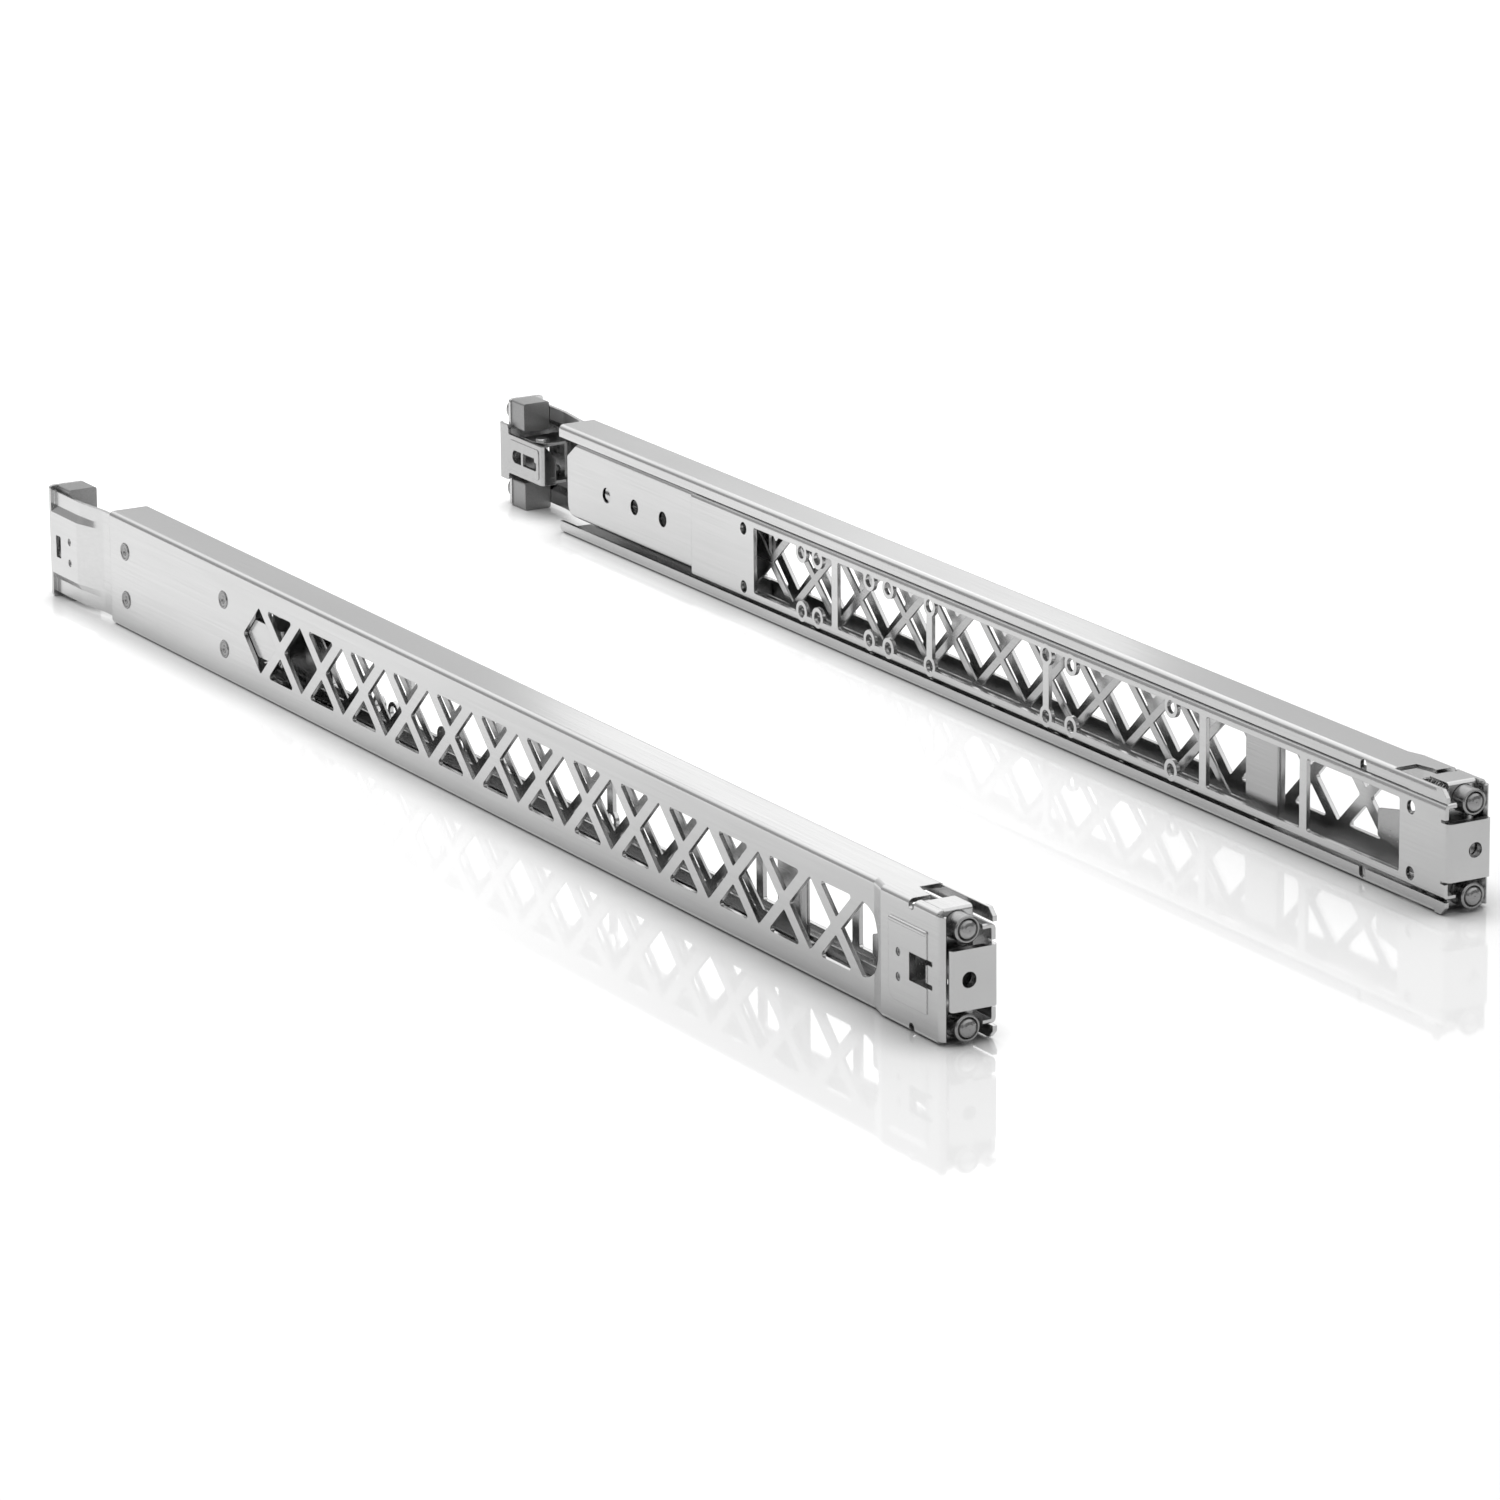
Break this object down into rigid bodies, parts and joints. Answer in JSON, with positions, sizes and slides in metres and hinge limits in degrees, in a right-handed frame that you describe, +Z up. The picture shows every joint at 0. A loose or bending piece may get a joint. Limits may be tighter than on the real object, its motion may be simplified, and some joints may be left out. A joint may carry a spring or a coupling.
{
  "type": "sliding server rail pair",
  "caption": "Pair of ball-bearing slide rails that carry a server in a rack: truss-cut steel channels with telescoping members, depth-adjusting rear brackets and tool-less post ends.",
  "frame": {"origin": "centre of the pair's bounding box on the surface it lies on", "axes": "+Z up; +X from the left rail to the right rail; -Y towards the front ends, +Y towards the rear ends"},
  "size_m": [0.2304, 0.686, 0.043],
  "materials": {
    "rail_steel": "bright zinc-plated sheet steel, satin",
    "member_steel": "bright zinc-plated sheet steel, satin",
    "cage_steel": "bare cold-rolled strip, satin",
    "latch_steel": "zinc-plated sheet steel, satin",
    "block_steel": "sintered steel, nickel-plated, fine matt",
    "turned_steel": "turned steel, satin",
    "fastener_steel": "cold-headed steel",
    "hardened_steel": "ground and polished",
    "spring_wire": "drawn spring wire"
  },
  "bodies": {
    "root": {"left_outer_channel": "rail_steel", "left_front_post_carrier": "rail_steel", "left_carrier_rivets": "fastener_steel", "left_front_post_pins": "turned_steel", "left_sleeve_spring_bottom": "spring_wire", "left_sleeve_spring_top": "spring_wire", "left_front_latch_pin": "hardened_steel", "left_front_latch_spring": "spring_wire", "left_rear_guide": "rail_steel", "left_guide_rivets": "fastener_steel", "right_outer_channel": "rail_steel", "right_front_post_carrier": "rail_steel", "right_carrier_rivets": "fastener_steel", "right_front_post_pins": "turned_steel", "right_sleeve_spring_bottom": "spring_wire", "right_sleeve_spring_top": "spring_wire", "right_front_latch_pin": "hardened_steel", "right_front_latch_spring": "spring_wire", "right_rear_guide": "rail_steel", "right_guide_rivets": "fastener_steel"},
    "left_member": {"left_sliding_member": "member_steel"},
    "left_retainer": {"left_ball_retainer": "cage_steel", "left_bearing_balls": "hardened_steel"},
    "left_rear_bracket": {"left_rear_bracket": "rail_steel", "left_rear_posts": "block_steel", "left_rear_hinge_bracket": "latch_steel", "left_hinge_bracket_rivets": "fastener_steel", "left_rear_latch_pin": "hardened_steel", "left_rear_latch_spring": "spring_wire"},
    "left_rear_latch": {"left_rear_latch": "latch_steel"},
    "left_front_latch": {"left_front_latch": "latch_steel"},
    "left_sleeve_top": {"left_front_sleeve_top": "turned_steel"},
    "left_sleeve_bottom": {"left_front_sleeve_bottom": "turned_steel"},
    "right_member": {"right_sliding_member": "member_steel"},
    "right_retainer": {"right_ball_retainer": "cage_steel", "right_bearing_balls": "hardened_steel"},
    "right_rear_bracket": {"right_rear_bracket": "rail_steel", "right_rear_posts": "block_steel", "right_rear_hinge_bracket": "latch_steel", "right_hinge_bracket_rivets": "fastener_steel", "right_rear_latch_pin": "hardened_steel", "right_rear_latch_spring": "spring_wire"},
    "right_rear_latch": {"right_rear_latch": "latch_steel"},
    "right_front_latch": {"right_front_latch": "latch_steel"},
    "right_sleeve_top": {"right_front_sleeve_top": "turned_steel"},
    "right_sleeve_bottom": {"right_front_sleeve_bottom": "turned_steel"}
  },
  "joints": [
    {"name": "left_member_slide", "type": "slide", "parent": "root", "child": "left_member", "axis": [0, -1, 0], "range_m": [0, 0.15]},
    {"name": "left_retainer_slide", "type": "slide", "parent": "root", "child": "left_retainer", "axis": [0, -1, 0], "range_m": [0, 0.075]},
    {"name": "left_depth_slide", "type": "slide", "parent": "root", "child": "left_rear_bracket", "axis": [0, 1, 0], "range_m": [0, 0.1]},
    {"name": "left_rear_latch_hinge", "type": "hinge", "parent": "left_rear_bracket", "child": "left_rear_latch", "pos_m": [-0.1034, 0.2846, 0.02152], "axis": [0, 0, -1], "range_deg": [0, 20], "stiffness_Nm_per_rad": 0.05, "springref_deg": -11.46, "deforming": ["left_rear_latch_spring"]},
    {"name": "left_front_latch_hinge", "type": "hinge", "parent": "root", "child": "left_front_latch", "pos_m": [-0.10685, -0.3249, 0.02152], "axis": [0, 0, 1], "range_deg": [0, 4], "stiffness_Nm_per_rad": 0.05, "springref_deg": -11.46, "deforming": ["left_front_latch_spring"]},
    {"name": "left_sleeve_bottom_slide", "type": "slide", "parent": "root", "child": "left_sleeve_bottom", "axis": [0, 1, 0], "range_m": [0, 0.0065], "stiffness_N_per_m": 150, "springref_m": -0.003, "deforming": ["left_sleeve_spring_bottom"]},
    {"name": "left_sleeve_top_slide", "type": "slide", "parent": "root", "child": "left_sleeve_top", "axis": [0, 1, 0], "range_m": [0, 0.0065], "stiffness_N_per_m": 150, "springref_m": -0.003, "deforming": ["left_sleeve_spring_top"]},
    {"name": "right_member_slide", "type": "slide", "parent": "root", "child": "right_member", "axis": [0, -1, 0], "range_m": [0, 0.15]},
    {"name": "right_retainer_slide", "type": "slide", "parent": "root", "child": "right_retainer", "axis": [0, -1, 0], "range_m": [0, 0.075]},
    {"name": "right_depth_slide", "type": "slide", "parent": "root", "child": "right_rear_bracket", "axis": [0, 1, 0], "range_m": [0, 0.1]},
    {"name": "right_rear_latch_hinge", "type": "hinge", "parent": "right_rear_bracket", "child": "right_rear_latch", "pos_m": [0.1034, 0.317, 0.02152], "axis": [0, 0, 1], "range_deg": [0, 20], "stiffness_Nm_per_rad": 0.05, "springref_deg": -11.46, "deforming": ["right_rear_latch_spring"]},
    {"name": "right_front_latch_hinge", "type": "hinge", "parent": "root", "child": "right_front_latch", "pos_m": [0.10685, -0.2925, 0.02152], "axis": [0, 0, -1], "range_deg": [0, 4], "stiffness_Nm_per_rad": 0.05, "springref_deg": -11.46, "deforming": ["right_front_latch_spring"]},
    {"name": "right_sleeve_bottom_slide", "type": "slide", "parent": "root", "child": "right_sleeve_bottom", "axis": [0, 1, 0], "range_m": [0, 0.0065], "stiffness_N_per_m": 150, "springref_m": -0.003, "deforming": ["right_sleeve_spring_bottom"]},
    {"name": "right_sleeve_top_slide", "type": "slide", "parent": "root", "child": "right_sleeve_top", "axis": [0, 1, 0], "range_m": [0, 0.0065], "stiffness_N_per_m": 150, "springref_m": -0.003, "deforming": ["right_sleeve_spring_top"]}
  ],
  "couplings": [
    {"joint": "left_retainer_slide", "follows": "left_member_slide", "ratio": 0.5},
    {"joint": "right_retainer_slide", "follows": "right_member_slide", "ratio": 0.5}
  ]
}
